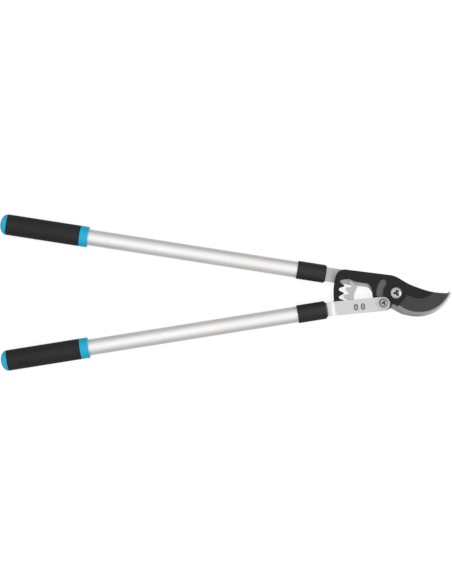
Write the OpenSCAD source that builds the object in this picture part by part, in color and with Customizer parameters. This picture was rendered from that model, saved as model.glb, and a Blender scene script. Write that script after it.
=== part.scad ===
// Bypass loppers whose blade is driven by a toothed lever.
// The tool lies on its back: X runs along it with the jaws at +X, Y runs across it, Z points up.
// The origin is on the blade's pivot axis, at the level of the surface that the tool lies on.
// All sizes are in millimetres, and the jaws are shown closed.

/* [Handles] */
// Length of each handle, from the nose of its ferrule to the end of its grip
handle_len = 547.3; // [420:0.1:680]
// Angle between the upper handle and the X axis
upper_angle = 8.85; // [7:0.05:14]
// Angle between the lower handle and the X axis
lower_angle = 9.05; // [7:0.05:14]
// Width of the oval tube
tube_w = 26.7; // [22:0.1:33]
// Height of the oval tube
tube_h = 20.6; // [18:0.1:25]
// Wall of the tube
tube_wall = 1.6; // [1.2:0.1:2]

/* [Grips] */
// Length of the whole grip, with its collar and domed end
grip_len = 147.3; // [120:0.1:176]
// How far the grip stands out beside the tube
grip_side = 3.85; // [3:0.05:7]
// How far the grip stands out above and below the tube
grip_over = 3.7; // [3:0.05:7]
// Length of the collar at the front of the grip
collar_len = 13.4; // [8:0.1:17]
// Depth of the domed end
dome_depth = 11; // [9:0.5:15]
// Wall of the hard core under the soft sleeve
core_wall = 1.4; // [1:0.1:1.8]

/* [Ferrules] */
// Length of the ferrule
ferrule_len = 48; // [44:1:60]
// Wall of the ferrule round the tube
ferrule_wall = 1.7; // [1.2:0.1:2.5]
// Thickness of the closed nose, before the tube starts
nose_t = 14; // [11:1:16]
// Chamfer on the nose
nose_chamfer = 3; // [1:0.5:4]

/* [Plates] */
// Thickness of the hook and of the lever
plate_t = 5; // [4:0.1:6]
// Thickness of the blade
blade_t = 4; // [3:0.1:4.5]
// Free gap between plates that slide past each other
plate_gap = 0.3; // [0.2:0.05:0.5]
// How much narrower the lever and the hook's shank are than the tube
shank_in = 3.3; // [2:0.1:6]
// How much narrower the tang is than the shank
tang_in = 3.4; // [2.4:0.1:6]
// Length of the tang behind the nose
tang_len = 68; // [62:1:80]

/* [Jaws] */
// Reach of the blade's tip from its pivot
blade_len = 88; // [74:1:106]
// Width of the sharpened bevel
bevel_w = 2.6; // [1.5:0.1:3.2]
// Depth of the hollow grind at the bevel
grind_depth = 1.7; // [1:0.1:2]
// Thickness left at the cutting edge
edge_t = 0.3; // [0.2:0.05:0.6]
// Width of the slope round the hook's outside
hook_slope_w = 5; // [3:0.5:6]

/* [Gear] */
// Module of the teeth, which sets the distance between the two pivots
gear_module = 4.15; // [3.45:0.01:4.98]
// Teeth of the whole inner ring that the blade carries a part of
ring_teeth = 44; // [44:44]
// Teeth of the whole wheel that the lever's sector is a part of
sector_teeth = 31; // [31:31]
// Pressure angle of the teeth
pressure_angle = 25; // [20:1:25]
// Play cut off each flank, measured round the pitch circle
flank_play = 0.22; // [0.15:0.01:0.4]
// Wall of the blade outside the ring's teeth
rim_wall = 8.7; // [6:0.1:12]

/* [Pivots] */
// Diameter of the blade pivot's bolt
pivot_bolt_d = 10; // [8:0.5:11]
// Diameter of the blade pivot's bush
pivot_bush_d = 13; // [12:0.5:15]
// Diameter of the blade pivot's bolt head
pivot_head_d = 18.6; // [17:0.1:20]
// Width of the blade pivot's nut across its flats
pivot_nut_w = 17; // [14:0.5:20]
// Diameter of the blade pivot's washer
pivot_washer_d = 21; // [17:0.5:24]
// Diameter of the lever pivot's bolt
lever_bolt_d = 8; // [6:0.5:8.5]
// Diameter of the lever pivot's bush
lever_bush_d = 11; // [10:0.5:12]
// Diameter of the lever pivot's bolt head
lever_head_d = 13.6; // [13:0.1:15]
// Width of the lever pivot's nut across its flats
lever_nut_w = 13; // [11:0.5:16]
// Diameter of the lever pivot's washer
lever_washer_d = 17; // [14:0.5:19]
// Height of both bolt heads
head_h = 4.6; // [3.5:0.1:5]
// Radial play of a bush that a plate turns on
turning_play = 0.05; // [0.02:0.01:0.1]

/* [Hidden] */
$fn = 64;
far = 300;                 // reaches past any plate
nip = 0.05;                // overlap that joins two shapes of one piece
fit = 0.1;                 // gap round pieces that are pushed together
mech = gear_module / 4.15; // scale of everything that follows the gear
jaw = blade_len / 88;      // scale of both jaws

// Widths that follow the tube
grip_w = tube_w + 2 * grip_side;
grip_h = tube_h + 2 * grip_over;
shank_w = tube_w - shank_in;
tang_w = shank_w - tang_in;

// Levels: the plates lie about the tubes' axes, and the pivot nut's face is level with the grips' undersides
mid_z = grip_h / 2;
blade_z = mid_z - blade_t / 2;
hook_z = blade_z - plate_gap - plate_t;
lever_z = blade_z + blade_t + plate_gap;
washer_t = 1.2;
pivot_nut_h = hook_z - washer_t;
lever_nut_h = 4.8;
head_sink = 1.2;           // the lever bolt's head sits this deep in the lever

// Gear
ring_r = ring_teeth * gear_module / 2;
sector_r = sector_teeth * gear_module / 2;
centre_distance = ring_r - sector_r;
ring_tip = ring_r - 0.99 * gear_module;
ring_root = ring_r + 0.96 * gear_module;
sector_tip = sector_r + 0.5 * gear_module;
sector_root = sector_r - 1.18 * gear_module;
ring_tip_round = ring_tip + 0.25 * gear_module;    // the tips and roots are round past these radii
ring_root_round = ring_root - 0.4 * gear_module;
rim_r = ring_root + rim_wall;
lever_pivot_angle = 217.8;
mesh_shift = -0.5;         // turns the ring by this and the sector with it, tooth still facing gap
ring_gaps = [2:6];         // gaps counted from the line through both pivots
sector_tooth_list = [2:6];

// Places in the plane of the plates
lever_pivot = polar(centre_distance, lever_pivot_angle);
lever_end = lever_pivot + [-1.1, -1.8] * mech;
lever_angle = 185.9;
lower_root = lever_end + polar(94.5 * mech, lever_angle);
upper_root = [-117.2, 31.2] * mech;

// Pieces inside each handle, measured from the nose
tube_start = nose_t + 2;
grip_start = handle_len - grip_len;
sleeve_start = grip_start + collar_len;
sleeve_end = handle_len - dome_depth;
tube_end = sleeve_end - 2;
ferrule_w = tube_w + 2 * ferrule_wall;
ferrule_h = tube_h + 2 * ferrule_wall;
joggle = plate_t / 2 + plate_gap + blade_t / 2;
joggle_start = 12;         // the plates start to bend this far before the nose
joggle_run = 16;
slot_play = 0.25;          // round a plate where it enters the nose
insert_len = 46;
rivet_d = 5;
rivet_places = [tube_start + 10, tube_start + 24];

// ---- Curves ----

function polar(r, a) = [r * cos(a), r * sin(a)];
function arc(c, r, a0, a1, n) = [for (i = [0:n]) c + polar(r, a0 + (a1 - a0) * i / n)];

// A smooth curve through the points, with n steps between neighbours
function bend(p0, p1, p2, p3, t) =
    0.5 * (2 * p1 + (p2 - p0) * t + (2 * p0 - 5 * p1 + 4 * p2 - p3) * t * t
           + (3 * p1 - p0 - 3 * p2 + p3) * t * t * t);
function smooth(p, n) = let (last = len(p) - 1)
    [for (i = [0:last - 1]) for (k = [0:(i == last - 1 ? n : n - 1)])
        bend(p[max(i - 1, 0)], p[i], p[i + 1], p[min(i + 2, last)], k / n)];

function backwards(p) = [for (i = [len(p) - 1:-1:0]) p[i]];

// An outline without points that lie on the one after them
function distinct(p) = [for (i = [0:len(p) - 1]) if (norm(p[i] - p[(i + 1) % len(p)]) > 0.02) p[i]];

// ---- Gear teeth ----

function involute(a) = tan(a) * 180 / PI - a;
// Half the angle that a tooth takes up at radius r, for a wheel of n teeth
function half_tooth(n, r) = let (pitch_r = n * gear_module / 2)
    90 / n + involute(pressure_angle) - involute(acos(min(1, pitch_r * cos(pressure_angle) / r)));
function play_angle(n) = flank_play / (n * gear_module / 2) * 180 / PI;
function flank(r0, r1) = [for (i = [0:4]) r0 + (r1 - r0) * i / 4];

// The lever's toothed edge, from the lowest tooth to the highest
sector_edge = [for (k = sector_tooth_list)
    let (a = lever_pivot_angle + (mesh_shift * ring_teeth - 360 * k) / sector_teeth)
    each concat(
        [for (r = flank(sector_root, sector_tip))
            lever_pivot + polar(r, a + half_tooth(sector_teeth, r) - play_angle(sector_teeth))],
        [for (r = flank(sector_tip, sector_root))
            lever_pivot + polar(r, a - half_tooth(sector_teeth, r) + play_angle(sector_teeth))])];

// The blade's toothed edge, from its lower end to the window's top edge, with round roots and tips
function gap_half(r) = half_tooth(ring_teeth, r) + play_angle(ring_teeth);
function ring_round(r0, r1, a, half, t0) =
    [for (t = [t0:30:60]) polar(r0 + (r1 - r0) * cos(t), a - half * sin(t))];
ring_edge = [for (k = ring_gaps)
    let (a = lever_pivot_angle + mesh_shift - 360 * k / ring_teeth, first = k == ring_gaps[0])
    each concat(
        first ? [] : [for (r = flank(ring_tip_round, ring_root_round)) polar(r, a + gap_half(r))],
        ring_round(ring_root_round, ring_root, a, gap_half(ring_root_round), first ? 0 : -60),
        [for (r = flank(ring_root_round, ring_tip_round)) polar(r, a - gap_half(r))],
        k == ring_gaps[2] ? [] : ring_round(ring_tip_round, ring_tip, a - 180 / ring_teeth,
                                            180 / ring_teeth - gap_half(ring_tip_round), -60))];

// ---- Sections and places ----

// An oval of four arcs, grown outwards by the same amount all round
module oval(w, h, grow = 0) {
    end_r = 0.36 * h;
    end_x = w / 2 - end_r;
    flat_r = (end_x * end_x + h * h / 4 - end_r * end_r) / (h - 2 * end_r);
    drop = flat_r - h / 2;
    tilt = atan2(drop, end_x);
    side = function (r) [for (i = [0:10]) [end_x, 0] + polar(r, tilt * (i / 5 - 1))];
    crown = function (r) [for (i = [1:15]) [0, -drop] + polar(r, tilt + (90 - tilt) * i / 8)];
    polygon(concat(side(end_r + grow), crown(flat_r + grow), -side(end_r + grow), -crown(flat_r + grow)));
}

// Stands a flat shape up so that it runs from x0 to x1
module run(x0, x1) {
    translate([x0, 0, 0]) rotate([90, 0, 90]) linear_extrude(x1 - x0) children();
}

module on_upper() { translate([upper_root[0], upper_root[1], mid_z]) rotate(180 - upper_angle) children(); }
module on_lower() { translate([lower_root[0], lower_root[1], mid_z]) rotate(180 + lower_angle) children(); }
module on_lever_pivot(z) { translate([lever_pivot[0], lever_pivot[1], z]) children(); }

// ---- Blade ----

top_slope = 7.2;           // the blade's top edge falls by this angle towards the jaws
top_h = 28.15 * mech;      // distance of that edge from the pivot
corner_r = 15.5 * mech;
corner_a = 180 - top_slope - asin((top_h - corner_r) / (rim_r - corner_r));
ring_end = lever_pivot_angle + mesh_shift - 360 * ring_gaps[0] / ring_teeth;
slot_end = 142;            // direction of the slot's far end from the pivot
slot_w = lever_bush_d + 1;
slot_outline = concat(
    arc([0, 0], centre_distance + slot_w / 2, slot_end, lever_pivot_angle, 24),
    arc(lever_pivot, slot_w / 2, lever_pivot_angle + 15, lever_pivot_angle + 165, 10),
    arc([0, 0], centre_distance - slot_w / 2, lever_pivot_angle, slot_end, 24),
    arc(polar(centre_distance, slot_end), slot_w / 2, slot_end - 165, slot_end - 15, 10));
rib_r = centre_distance + slot_w / 2 + 6.3;
lobe_r = slot_w / 2 + 7.5;
lobe_c = lever_pivot + [1.2, 0.3] * mech;  // the lobe round the slot's lower end

spine = smooth(jaw * [[-7, 29.3] * mech / jaw, [1, 26.5], [9.2, 21.7], [21.2, 14.8], [33.4, 9.9],
                      [45.5, 5.6], [56.3, 2.5], [72, 0.1], [89.3, -0.5]], 4);
edge_c = [38.6, 22.6] * jaw;  // the cutting edge is an arc about this point
edge_r = 57.1 * jaw;
edge_span = [231.9, 334.6];
grind_r = 31.9 * jaw;         // the hollow grind reaches in to this radius
grind_start = [3.1, -22.6] * jaw;
grind_start_a = 50.7;         // direction of the grind's straight end
grind_step = 0.35;

window_top = smooth(mech * [polar(rib_r, 176) / mech, [-40.4, 8.6], [-43.6, 13.2], [-48.5, 15.8], [-58, 17.1],
                            [-67, 18.6], [-73, 21.4], [-78, 23]], 3);

blade_outline = distinct(concat(
    arc([0, 0], rim_r, ring_end, corner_a, 16),
    arc(polar(rim_r - corner_r, corner_a), corner_r, corner_a, 90 - top_slope, 8),
    spine, arc(edge_c, edge_r, edge_span[1], edge_span[0], 36), [[-4.1, -17.8] * mech],
    arc(lobe_c, lobe_r, -16, -172, 14),
    arc([0, 0], rib_r, 204, 178, 5),
    window_top, backwards(ring_edge)));

// What the hollow grind and the sharpened bevel take off the blade's front
module blade_grind() {
    fall = (blade_t - grind_depth - edge_t) / bevel_w;
    intersection() {
        translate(edge_c) rotate_extrude() polygon([
            [grind_r, blade_t + 1], [grind_r, blade_t - grind_step],
            [edge_r - bevel_w, blade_t - grind_depth],
            [edge_r + 2, edge_t - 2 * fall], [edge_r + 2, blade_t + 1]]);
        translate([grind_start[0], grind_start[1], -2]) rotate(grind_start_a)
            translate([-far / 2, -far, 0]) cube([far, far, blade_t + 4]);
    }
}

module blade() {
    color("#2b2b2b") translate([0, 0, blade_z]) difference() {
        linear_extrude(blade_t) polygon(blade_outline);
        blade_grind();
        translate([0, 0, -1]) {
            cylinder(d = pivot_bush_d + 2 * turning_play, h = blade_t + 2);
            linear_extrude(blade_t + 2) polygon(slot_outline);
        }
    }
}

// ---- Bent plates ----

// A point of a handle's own place, seen in the plane of the plates
function placed(root, a, p) = root + [p[0] * cos(a) - p[1] * sin(a), p[0] * sin(a) + p[1] * cos(a)];

// Outline of a plate's end inside its handle, from one side of the shank to the other
function tang_outline(root, a) = let (shoulder = tube_start - 4, side = [
        [-joggle_start, shank_w / 2], [shoulder - 2, shank_w / 2], [shoulder, tang_w / 2],
        [tang_len - 4, tang_w / 2], [tang_len, tang_w / 2 - 4]])
    [for (p = concat([for (q = side) [q[0], -q[1]]], backwards(side))) placed(root, a, p)];

// A plate seen from its side, in its handle's own place: flat at its level, then bent onto the tube's axis
module bent(level) {
    x0 = -joggle_start;
    line = [[-far, level], [x0, level], [x0 + joggle_run, 0], [far, 0]];
    half = [0, plate_t / 2];
    rotate([90, 0, 0]) linear_extrude(far, center = true)
        polygon(concat([for (p = line) p - half], [for (p = backwards(line)) p + half]));
}

module rivet_holes(d) {
    for (x = rivet_places) translate([x, 0, 0]) cylinder(d = d, h = far, center = true);
}

// ---- Hook ----

hook_c = [35.8, 24.2] * jaw;  // the outside of the hook is an arc about this point
hook_r = 63.7 * jaw;
hook_span = [262, 337];
hook_outer = concat(
    smooth(concat(mech * [[-13.1, -26.7], [-7.3, -26]], jaw * [[-1, -29.3], [5.5, -32.7], [12.6, -36]],
                  [hook_c + polar(hook_r, hook_span[0])]), 3),
    arc(hook_c, hook_r, hook_span[0], hook_span[1], 28));
hook_inner = smooth(jaw * [[94.3, 1], [92.8, 2.9], [90.4, 3.3], [87.4, 0.9], [83.4, -3.6], [76, -10],
                           [66, -16.3], [54, -20.3], [42, -21], [32, -18.4], [25, -13], [20.4, -6.6]], 3);
hub_r = 21.5;
hook_lobe_r = 13;
hook_outline = distinct(concat(
    hook_outer, hook_inner,
    arc([0, 0], hub_r, -10, 98, 12),
    smooth(concat([polar(hub_r, 102)], mech * [[-18, 25], [-35, 29.6], [-60, 34.6]],
                  [placed(upper_root, 180 - upper_angle, [-joggle_start, -shank_w / 2])]), 4),
    tang_outline(upper_root, 180 - upper_angle),
    smooth(mech * [[-65.7, 11.7], [-56, 10.7], [-47.5, 9.6], [-43.3, 7.1], [-40.3, 3], [-38.4, -2],
                   [-36.2, -9]], 3),
    arc(lever_pivot, hook_lobe_r, 178, 312, 12)));

// What the slope round the outside of the hook takes off its front
module hook_slope() {
    drop = 0.42 * plate_t;
    translate(hook_c) rotate(236) rotate_extrude(angle = 110) polygon([
        [hook_r - hook_slope_w, plate_t + 1], [hook_r - hook_slope_w, plate_t],
        [hook_r + 2, plate_t - drop * (1 + 2 / hook_slope_w)], [hook_r + 2, plate_t + 1]]);
}

module hook() {
    color("#b9bbbd") difference() {
        intersection() {
            linear_extrude(grip_h) polygon(hook_outline);
            on_upper() bent(-joggle);
        }
        translate([0, 0, hook_z]) hook_slope();
        translate([0, 0, hook_z - 1]) cylinder(d = pivot_bolt_d + 2 * fit, h = plate_t + 2);
        on_lever_pivot(hook_z - 1) cylinder(d = lever_bolt_d + 2 * fit, h = plate_t + 2);
        on_upper() rivet_holes(rivet_d + fit);
    }
}

// ---- Lever and its toothed sector ----

lever_outline = concat(
    arc(lever_end, shank_w / 2, lever_angle - 90, lever_angle - 270, 24),
    backwards(tang_outline(lower_root, 180 + lower_angle)));
sector_rivet_places = [33.6, 45.2] * mech;
rivet_head = [5.4, 9];     // along the lever and across it
rivet_gap = 0.7;           // round the head in its recess
rivet_sink = 1.4;

sector_outline = concat(
    [for (i = [0:len(sector_edge) - 5]) sector_edge[i]],
    smooth(mech * [[-71.2, 16.9], [-65.1, 11.6], [-67, 4.8], [-69.7, -1.8], [-70.6, -8], [-69.2, -12.6],
                   [-64, -13.9], [-52, -12.9], [-47.6, -17.5], [-48.5, -27], [-54, -31.5], [-66, -33],
                   [-76, -34.2]], 3));

module on_sector_rivets(z) {
    for (x = sector_rivet_places)
        translate([lever_end[0], lever_end[1], z]) rotate(lever_angle) translate([x, 0.8, 0]) children();
}

module obround(size, grow) {
    r = size[0] / 2 + grow;
    y = (size[1] - size[0]) / 2;
    square([2 * r, 2 * y], center = true);
    for (side = [-1, 1]) translate([0, side * y]) circle(r);
}

module lever() {
    color("#cfcfd1") difference() {
        intersection() {
            linear_extrude(grip_h) polygon(lever_outline);
            on_lower() bent(joggle);
        }
        on_lever_pivot(lever_z - 1) cylinder(d = lever_bush_d + 2 * turning_play, h = plate_t + 2);
        on_lever_pivot(lever_z + plate_t - head_sink) cylinder(d = lever_head_d + 1.4, h = plate_t);
        on_sector_rivets(lever_z - 1) cylinder(d = rivet_d + fit, h = plate_t + 2);
        on_sector_rivets(lever_z + plate_t - rivet_sink)
            linear_extrude(plate_t) obround(rivet_head, rivet_gap);
        on_lower() rivet_holes(rivet_d + fit);
    }
}

module gear_sector() {
    color("#c4c5c7") difference() {
        translate([0, 0, blade_z]) linear_extrude(lever_z - blade_z) polygon(sector_outline);
        on_sector_rivets(blade_z - 1) cylinder(d = rivet_d + fit, h = far);
    }
}

module sector_rivets() {
    color("#9a9b9d") {
        on_sector_rivets(blade_z) cylinder(d = rivet_d, h = lever_z + plate_t - rivet_sink - blade_z + nip);
        on_sector_rivets(lever_z + plate_t - rivet_sink)
            linear_extrude(rivet_sink + 0.25) obround(rivet_head, 0);
    }
}

// ---- Bolts, bushes, washers and nuts ----

module domed_head(d, h, socket) {
    rim = 0.3 * h;
    ball_r = (d * d / 4 + (h - rim) * (h - rim)) / (2 * (h - rim));
    difference() {
        intersection() {
            cylinder(d = d, h = h);
            translate([0, 0, h - ball_r]) sphere(ball_r);
        }
        translate([0, 0, h * 0.4]) cylinder(d = socket / cos(30), h = h, $fn = 6);
    }
}

module hex_nut(across, h, bore) {
    difference() {
        intersection() {
            cylinder(d = across / cos(30), h = h, $fn = 6);
            rotate_extrude() polygon([
                [0, 0], [across / 2 - 0.3, 0], [across / 2 + 1.4, 1], [across / 2 + 1.4, h - 1],
                [across / 2 - 0.3, h], [0, h]]);
        }
        translate([0, 0, -1]) cylinder(d = bore, h = h + 2);
    }
}

module ring(outer, inner, h) {
    difference() {
        cylinder(d = outer, h = h);
        translate([0, 0, -1]) cylinder(d = inner, h = h + 2);
    }
}

lever_nut_z = hook_z - washer_t - lever_nut_h;
lever_head_z = lever_z + plate_t - head_sink + 0.1;

module pivot_bolt() {
    color("#d8d9db") {
        cylinder(d = pivot_bolt_d, h = lever_z + nip);
        translate([0, 0, lever_z]) domed_head(pivot_head_d, head_h, 8);
    }
}
module pivot_bush() {
    color("#8a7a4a") translate([0, 0, hook_z + plate_t])
        ring(pivot_bush_d, pivot_bolt_d + 2 * fit, lever_z - hook_z - plate_t);
}
module pivot_washer() {
    color("#b0b2b4") translate([0, 0, hook_z - washer_t])
        ring(pivot_washer_d, pivot_bolt_d + 2 * fit, washer_t);
}
module pivot_nut() {
    color("#a6a8aa") hex_nut(pivot_nut_w, pivot_nut_h, pivot_bolt_d + 2 * nip);
}

module lever_bolt() {
    color("#d0d1d3") {
        on_lever_pivot(lever_nut_z) cylinder(d = lever_bolt_d, h = lever_head_z - lever_nut_z + nip);
        on_lever_pivot(lever_head_z) domed_head(lever_head_d, head_h, 6);
    }
}
module lever_bush() {
    color("#8a7a4a") on_lever_pivot(hook_z + plate_t)
        ring(lever_bush_d, lever_bolt_d + 2 * fit, lever_head_z - hook_z - plate_t);
}
module lever_washer() {
    color("#b0b2b4") on_lever_pivot(hook_z - washer_t)
        ring(lever_washer_d, lever_bolt_d + 2 * fit, washer_t);
}
module lever_nut() {
    color("#a6a8aa") on_lever_pivot(lever_nut_z) hex_nut(lever_nut_w, lever_nut_h, lever_bolt_d + 2 * nip);
}

// ---- Handles ----

module tube() {
    color("#dcdddf") difference() {
        run(tube_start, tube_end) oval(tube_w, tube_h);
        run(tube_start - 1, tube_end + 1) oval(tube_w, tube_h, -tube_wall);
        rivet_holes(rivet_d + fit);
    }
}

module ferrule(level) {
    x1 = ferrule_len;
    nose_level = level * (1 - joggle_start / joggle_run);
    slot_bottom = min(nose_level, 0) - plate_t / 2 - slot_play;
    slot_top = max(nose_level, 0) + plate_t / 2 + slot_play;
    color("#262626") difference() {
        intersection() {
            run(0, x1) oval(ferrule_w, ferrule_h);
            linear_extrude(far, center = true) chamfered_side(x1, ferrule_w / 2);
            rotate([90, 0, 0]) linear_extrude(far, center = true) chamfered_side(x1, ferrule_h / 2);
        }
        run(tube_start - fit, x1 + 1) oval(tube_w, tube_h, fit);
        translate([-1, -shank_w / 2 - slot_play, slot_bottom])
            cube([tube_start + 1, shank_w + 2 * slot_play, slot_top - slot_bottom]);
    }
}

module chamfered_side(x1, half) {
    c = nose_chamfer;
    side = [[0, half - c], [c * 0.7, half - 0.2], [c * 0.7 + 1, half + nip], [x1 - 1, half + nip],
            [x1, half - 0.6]];
    polygon(concat(side, [for (p = backwards(side)) [p[0], -p[1]]]));
}

module tang_insert() {
    color("#303030") difference() {
        run(tube_start, tube_start + insert_len) oval(tube_w, tube_h, -tube_wall - fit);
        translate([tube_start - 1, -tang_w / 2 - fit, -plate_t / 2 - fit])
            cube([insert_len + 2, tang_w + 2 * fit, plate_t + 2 * fit]);
        rivet_holes(rivet_d + fit);
    }
}

module tang_rivets() {
    color("#a8aaac") for (x = rivet_places)
        translate([x, 0, 0]) cylinder(d = rivet_d, h = tube_h - 0.3, center = true);
}

module grip_core() {
    dome = [for (a = [0:7.5:90]) [grip_w / 2 * cos(a), dome_depth * sin(a)]];
    color("#2ba3cc") difference() {
        union() {
            run(grip_start, sleeve_start) oval(grip_w, grip_h);
            run(sleeve_start - nip, sleeve_end + nip) oval(tube_w, tube_h, fit + core_wall);
            intersection() {
                run(sleeve_end, handle_len) oval(grip_w, grip_h);
                translate([sleeve_end, 0, 0]) rotate([0, 90, 0])
                    rotate_extrude() polygon(concat([[0, 0]], dome));
            }
        }
        run(grip_start - 1, tube_end + fit) oval(tube_w, tube_h, fit);
    }
}

module grip_sleeve() {
    color("#1d1d1d") difference() {
        run(sleeve_start, sleeve_end) oval(grip_w, grip_h);
        run(sleeve_start - 1, sleeve_end + 1) oval(tube_w, tube_h, core_wall + 2 * fit);
    }
}

module upper_tube() { on_upper() tube(); }
module upper_ferrule() { on_upper() ferrule(-joggle); }
module upper_tang_insert() { on_upper() tang_insert(); }
module upper_tang_rivets() { on_upper() tang_rivets(); }
module upper_grip_core() { on_upper() grip_core(); }
module upper_grip_sleeve() { on_upper() grip_sleeve(); }

module lower_tube() { on_lower() tube(); }
module lower_ferrule() { on_lower() ferrule(joggle); }
module lower_tang_insert() { on_lower() tang_insert(); }
module lower_tang_rivets() { on_lower() tang_rivets(); }
module lower_grip_core() { on_lower() grip_core(); }
module lower_grip_sleeve() { on_lower() grip_sleeve(); }

hook();
pivot_bolt();
pivot_bush();
pivot_washer();
pivot_nut();
lever_bolt();
lever_bush();
lever_washer();
lever_nut();
upper_tube();
upper_ferrule();
upper_tang_insert();
upper_tang_rivets();
upper_grip_core();
upper_grip_sleeve();
blade();
lever();
gear_sector();
sector_rivets();
lower_tube();
lower_ferrule();
lower_tang_insert();
lower_tang_rivets();
lower_grip_core();
lower_grip_sleeve();
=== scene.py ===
import math

import bmesh
import bpy
from mathutils import Matrix, Vector


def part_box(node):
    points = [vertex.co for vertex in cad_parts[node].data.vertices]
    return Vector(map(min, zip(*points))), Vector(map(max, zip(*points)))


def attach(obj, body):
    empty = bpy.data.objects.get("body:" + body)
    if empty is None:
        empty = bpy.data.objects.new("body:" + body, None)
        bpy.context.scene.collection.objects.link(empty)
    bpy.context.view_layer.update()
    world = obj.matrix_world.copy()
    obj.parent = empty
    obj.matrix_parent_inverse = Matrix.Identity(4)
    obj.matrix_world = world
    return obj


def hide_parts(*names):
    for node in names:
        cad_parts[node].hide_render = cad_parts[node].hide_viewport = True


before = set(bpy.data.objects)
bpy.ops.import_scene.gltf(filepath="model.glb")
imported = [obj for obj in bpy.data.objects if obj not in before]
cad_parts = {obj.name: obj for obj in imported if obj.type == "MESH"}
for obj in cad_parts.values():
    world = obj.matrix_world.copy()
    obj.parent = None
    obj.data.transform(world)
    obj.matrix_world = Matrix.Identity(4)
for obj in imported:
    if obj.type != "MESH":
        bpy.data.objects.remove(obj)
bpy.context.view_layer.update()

up = Vector((0, 0, 1))

camera = {"along": -0.2829, "across": 0.0015, "height": 2.1, "plateLevel": 0.019, "focalLength": 77.98,
          "sensorWidth": 36, "farthest": 100}
sideLamps = {"along": -0.3, "apart": 0.8, "height": 2.5, "size": (3.2, 0.5), "power": 5.2}
bendLamp = {"place": (-0.75, 0.0, 2.6), "target": (-0.105, 0, 0), "size": (1.2, 0.25), "power": 1.9}
keyLamp = {"place": (1.9, -0.3, 1.5), "target": (0, 0, 0), "size": (1.3, 1.3), "power": 11}
sky = {"horizon": (0.13, 0.13, 0.133), "top": (0.78, 0.78, 0.78), "rise": (0.12, 0.52), "strength": 1.0}
floorLook = {"size": 60, "albedo": 0.35, "glow": 0.78, "inMetal": 0.35, "drop": 0.0003}


def newGroup(name, inputs, outputs):
    tree = bpy.data.node_groups.new(name, "ShaderNodeTree")
    for label, kind, value in inputs:
        socket = tree.interface.new_socket(name=label, in_out="INPUT", socket_type=kind)
        if value is not None:
            socket.default_value = value
    for label, kind in outputs:
        tree.interface.new_socket(name=label, in_out="OUTPUT", socket_type=kind)
    return tree, tree.nodes.new("NodeGroupInput"), tree.nodes.new("NodeGroupOutput")


def mathNode(tree, operation, a, b=None, c=None, clamp=False):
    node = tree.nodes.new("ShaderNodeMath")
    node.operation = operation
    node.use_clamp = clamp
    for i, value in enumerate((a, b, c)):
        if isinstance(value, (int, float)):
            node.inputs[i].default_value = value
        elif value is not None:
            tree.links.new(value, node.inputs[i])
    return node.outputs[0]


def mapRange(tree, value, low, high, toLow, toHigh, smoothed=False):
    node = tree.nodes.new("ShaderNodeMapRange")
    node.interpolation_type = "SMOOTHSTEP" if smoothed else "LINEAR"
    tree.links.new(value, node.inputs["Value"])
    for label, item in (("From Min", low), ("From Max", high), ("To Min", toLow), ("To Max", toHigh)):
        if isinstance(item, (int, float)):
            node.inputs[label].default_value = item
        else:
            tree.links.new(item, node.inputs[label])
    return node.outputs["Result"]


def mixColour(tree, share, a, b):
    node = tree.nodes.new("ShaderNodeMix")
    node.data_type = "RGBA"
    for socket, value in ((node.inputs[0], share), (node.inputs[6], a), (node.inputs[7], b)):
        if isinstance(value, (int, float)):
            socket.default_value = value
        elif isinstance(value, tuple):
            socket.default_value = (*value[:3], 1)
        else:
            tree.links.new(value, socket)
    return node.outputs[2]


def part(tree, vector, axis):
    split = tree.nodes.new("ShaderNodeSeparateXYZ")
    tree.links.new(vector, split.inputs[0])
    return split.outputs[axis]


def makeCamera():
    data = bpy.data.cameras.new("camera")
    data.lens = camera["focalLength"]
    data.sensor_width = camera["sensorWidth"]
    data.clip_end = camera["farthest"]
    obj = bpy.data.objects.new("camera", data)
    obj.location = (camera["along"], camera["across"], camera["height"] + camera["plateLevel"])
    bpy.context.scene.collection.objects.link(obj)
    bpy.context.scene.camera = obj


def makeLamp(name, facts):
    data = bpy.data.lights.new(name, "AREA")
    data.shape = "RECTANGLE"
    data.size, data.size_y = facts["size"]
    data.energy = facts["power"]
    obj = bpy.data.objects.new(name, data)
    obj.location = facts["place"]
    obj.rotation_euler = (Vector(facts["target"]) - obj.location).to_track_quat("-Z", "Y").to_euler()
    bpy.context.scene.collection.objects.link(obj)


def makeSky():
    # dim near the horizon and bright overhead
    world = bpy.data.worlds.new("studio")
    world.use_nodes = True
    bpy.context.scene.world = world
    tree = world.node_tree
    background = tree.nodes["Background"]
    background.inputs["Strength"].default_value = sky["strength"]
    direction = tree.nodes.new("ShaderNodeTexCoord").outputs["Generated"]
    height = mapRange(tree, part(tree, direction, "Z"), *sky["rise"], 0.0, 1.0, smoothed=True)
    tree.links.new(mixColour(tree, height, sky["horizon"], sky["top"]), background.inputs["Color"])


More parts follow.
